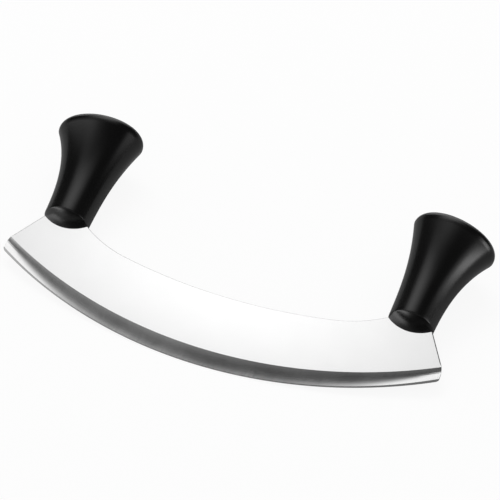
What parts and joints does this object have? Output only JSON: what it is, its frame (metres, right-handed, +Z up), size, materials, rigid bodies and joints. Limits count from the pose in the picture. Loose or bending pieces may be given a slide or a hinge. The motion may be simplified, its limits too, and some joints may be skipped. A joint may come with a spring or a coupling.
{
  "type": "mezzaluna",
  "caption": "Rocking herb chopper: a curved double-ground steel blade with upright flared black handles moulded onto its ends, lying on its side.",
  "frame": {"origin": "on the table, below the middle of the knife's overall box, as it lies on its side", "axes": "+X along the blade to the right, +Y from the cutting edge towards the handles, +Z up from the table"},
  "size_m": [0.2464, 0.1239, 0.0419],
  "materials": {
    "blade_steel": "satin",
    "handle_plastic": "satin"
  },
  "bodies": {
    "root": {"blade": "blade_steel", "left_handle": "handle_plastic", "right_handle": "handle_plastic"}
  },
  "joints": []
}
